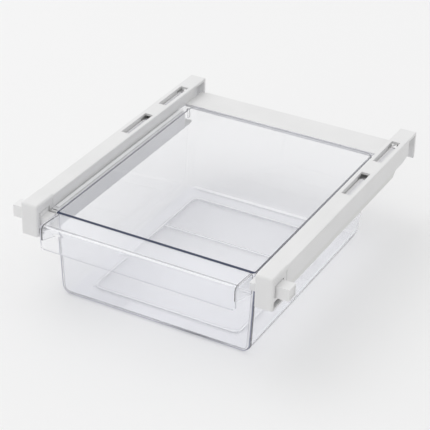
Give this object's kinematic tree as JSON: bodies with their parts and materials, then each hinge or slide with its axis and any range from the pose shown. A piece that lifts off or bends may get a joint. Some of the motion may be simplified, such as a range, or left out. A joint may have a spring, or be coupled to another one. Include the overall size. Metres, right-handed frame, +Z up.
{
  "type": "pull-out drawer for a refrigerator shelf",
  "caption": "Clear pull-out drawer hung between two white under-shelf rails, with sliding lock bars, slotted rail tops and a rear cross bar.",
  "frame": {"origin": "bottom centre of the whole object's box, on the surface that the drawer's underside rests on", "axes": "+X across to the right seen from the front, +Y from the handle to the rear, +Z up"},
  "size_m": [0.276, 0.3174, 0.0956],
  "materials": {
    "white_plastic": "fine satin moulded",
    "light_plastic": "satin moulded",
    "grey_plastic": "satin moulded",
    "clear_plastic": "clear polished"
  },
  "bodies": {
    "frame": {"left_rail": "white_plastic", "left_runner": "grey_plastic", "left_front_cap": "white_plastic", "left_front_shelf_clip": "light_plastic", "left_rear_shelf_clip": "light_plastic", "right_rail": "white_plastic", "right_runner": "grey_plastic", "right_front_cap": "white_plastic", "right_front_shelf_clip": "light_plastic", "right_rear_shelf_clip": "light_plastic", "rear_cross_bar": "white_plastic"},
    "drawer": {"drawer": "clear_plastic"},
    "left_lock": {"left_lock_bar": "light_plastic"},
    "right_lock": {"right_lock_bar": "light_plastic"}
  },
  "joints": [
    {"name": "drawer_slide", "type": "slide", "parent": "frame", "child": "drawer", "axis": [0, -1, 0], "range_m": [0, 0.235]},
    {"name": "left_lock_slide", "type": "slide", "parent": "frame", "child": "left_lock", "axis": [-1, 0, 0], "range_m": [0, 0.01]},
    {"name": "right_lock_slide", "type": "slide", "parent": "frame", "child": "right_lock", "axis": [1, 0, 0], "range_m": [0, 0.01]}
  ]
}
